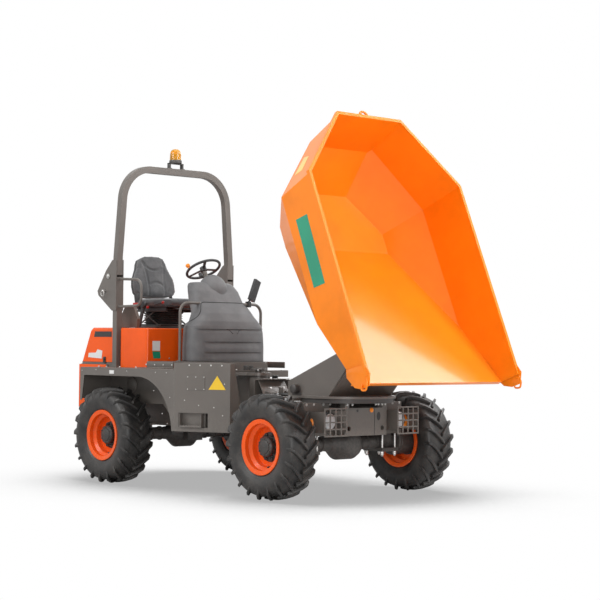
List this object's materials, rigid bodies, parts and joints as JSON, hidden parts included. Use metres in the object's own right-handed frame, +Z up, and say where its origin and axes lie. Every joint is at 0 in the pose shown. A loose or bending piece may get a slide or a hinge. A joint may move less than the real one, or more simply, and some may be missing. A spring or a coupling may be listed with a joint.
{
  "type": "site dumper",
  "caption": "Articulated four-wheel site dumper with a swivelling front-tip skip shown tipped, a forward-facing open seat and a folding roll-over hoop.",
  "frame": {"origin": "ground level under the middle of the machine's bounding box, straight ahead, skip tipped", "axes": "+X forwards towards the skip, +Y to the driver's left, +Z up"},
  "size_m": [4.0052, 1.858, 3.1031],
  "materials": {
    "tyre": "matt black rubber",
    "rim_paint": "semi-gloss orange paint",
    "hub_paint": "dark grey paint",
    "skip_paint": "semi-gloss bright orange paint",
    "hood_paint": "semi-gloss orange-red paint",
    "seat_panel": "matt dark brown plastic",
    "suspension": "black rubber bellows",
    "seat_fabric": "dark grey coated cloth",
    "console_plastic": "grained mid-grey plastic",
    "lamp": "black lamp body with a clear lens",
    "beacon_lens": "amber lens",
    "wheel_grip": "black moulded grip",
    "ram_rod": "polished chrome",
    "ram_paint": "grey-brown paint",
    "engine": "dark cast iron",
    "frame_paint": "satin grey-brown paint"
  },
  "bodies": {
    "rear_chassis": {"rear_frame": "frame_paint", "fender_right": "frame_paint", "fender_left": "frame_paint", "step_box_right": "frame_paint", "step_box_left": "frame_paint", "driver_floor": "frame_paint", "engine_block": "engine", "rear_panel": "hood_paint", "seat_box": "hood_paint", "rear_axle": "frame_paint", "rops_post_right": "frame_paint", "rops_post_left": "frame_paint", "console": "console_plastic", "steering_column": "frame_paint", "grab_rail_right": "frame_paint", "grab_rail_left": "frame_paint", "mirror": "console_plastic"},
    "engine_hood": {"engine_hood": "hood_paint", "seat_suspension": "suspension", "seat_cushion": "seat_fabric", "seat_back": "seat_fabric", "seat_side_panel": "seat_panel"},
    "rops_hoop": {"rops_hoop": "frame_paint", "beacon": "beacon_lens"},
    "steering_wheel": {"steering_wheel": "wheel_grip"},
    "front_chassis": {"front_frame": "frame_paint", "front_axle": "frame_paint", "lamp_guard_right": "frame_paint", "lamp_guard_left": "frame_paint", "headlamp_right": "lamp", "headlamp_left": "lamp", "slew_ring": "frame_paint"},
    "swivel_frame": {"swivel_frame": "frame_paint"},
    "skip": {"skip": "skip_paint", "skip_rails": "skip_paint"},
    "tip_barrel": {"tip_cylinder_barrel": "ram_paint"},
    "tip_rod": {"tip_cylinder_rod": "ram_rod"},
    "steer_barrel": {"steer_cylinder_barrel": "ram_paint"},
    "steer_rod": {"steer_cylinder_rod": "ram_rod"},
    "wheel_front_right": {"tyre_front_right": "tyre", "rim_front_right": "rim_paint", "hub_front_right": "hub_paint"},
    "wheel_front_left": {"tyre_front_left": "tyre", "rim_front_left": "rim_paint", "hub_front_left": "hub_paint"},
    "wheel_rear_right": {"tyre_rear_right": "tyre", "rim_rear_right": "rim_paint", "hub_rear_right": "hub_paint"},
    "wheel_rear_left": {"tyre_rear_left": "tyre", "rim_rear_left": "rim_paint", "hub_rear_left": "hub_paint"}
  },
  "joints": [
    {"name": "articulation", "type": "hinge", "parent": "rear_chassis", "child": "front_chassis", "pos_m": [-0.201, 0, 0.75], "axis": [0, 0, -1], "range_deg": [-33, 33]},
    {"name": "swivel", "type": "hinge", "parent": "front_chassis", "child": "swivel_frame", "pos_m": [0.899, 0, 0.8], "axis": [0, 0, 1], "range_deg": [-90, 90]},
    {"name": "tip", "type": "hinge", "parent": "swivel_frame", "child": "skip", "pos_m": [1.374, 0, 1.262], "axis": [0, 1, 0], "range_deg": [-62, 0]},
    {"name": "tip_barrel_pivot", "type": "hinge", "parent": "swivel_frame", "child": "tip_barrel", "pos_m": [0.679, 0, 0.78], "axis": [0, 1, 0], "range_deg": [0, 6.6]},
    {"name": "tip_rod_slide", "type": "slide", "parent": "tip_barrel", "child": "tip_rod", "axis": [0.6242, 0, 0.7813], "range_m": [-0.25, 0]},
    {"name": "steer_barrel_pivot", "type": "hinge", "parent": "rear_chassis", "child": "steer_barrel", "pos_m": [-0.701, 0.16, 0.6], "axis": [0, 0, -1], "range_deg": [-8, 8]},
    {"name": "steer_rod_slide", "type": "slide", "parent": "steer_barrel", "child": "steer_rod", "axis": [0.995, 0.0995, 0], "range_m": [-0.12, 0.12]},
    {"name": "steering_wheel", "type": "hinge", "parent": "rear_chassis", "child": "steering_wheel", "pos_m": [-0.971, 0, 1.905], "axis": [-0.5, 0, 0.866], "range_deg": [-662, 662]},
    {"name": "hood", "type": "hinge", "parent": "rear_chassis", "child": "engine_hood", "pos_m": [-1.995, 0, 1.046], "axis": [0, -1, 0], "range_deg": [0, 45]},
    {"name": "rops_fold", "type": "hinge", "parent": "rear_chassis", "child": "rops_hoop", "pos_m": [-1.471, 0, 1.83], "axis": [0, 1, 0], "range_deg": [-110, 0]},
    {"name": "wheel_front_right", "type": "hinge", "parent": "front_chassis", "child": "wheel_front_right", "pos_m": [0.849, -0.779, 0.4225], "axis": [0, 1, 0], "continuous": true},
    {"name": "wheel_front_left", "type": "hinge", "parent": "front_chassis", "child": "wheel_front_left", "pos_m": [0.849, 0.779, 0.4225], "axis": [0, 1, 0], "continuous": true},
    {"name": "wheel_rear_right", "type": "hinge", "parent": "rear_chassis", "child": "wheel_rear_right", "pos_m": [-1.251, -0.779, 0.4225], "axis": [0, 1, 0], "continuous": true},
    {"name": "wheel_rear_left", "type": "hinge", "parent": "rear_chassis", "child": "wheel_rear_left", "pos_m": [-1.251, 0.779, 0.4225], "axis": [0, 1, 0], "continuous": true}
  ],
  "couplings": [
    {"joint": "tip_barrel_pivot", "follows": "tip", "ratio": -0.101},
    {"joint": "tip_rod_slide", "follows": "tip", "m_per_rad": 0.227},
    {"joint": "steer_barrel_pivot", "follows": "articulation", "ratio": 0.183},
    {"joint": "steer_rod_slide", "follows": "articulation", "m_per_rad": 0.2028},
    {"joint": "steering_wheel", "follows": "articulation", "ratio": 20}
  ]
}
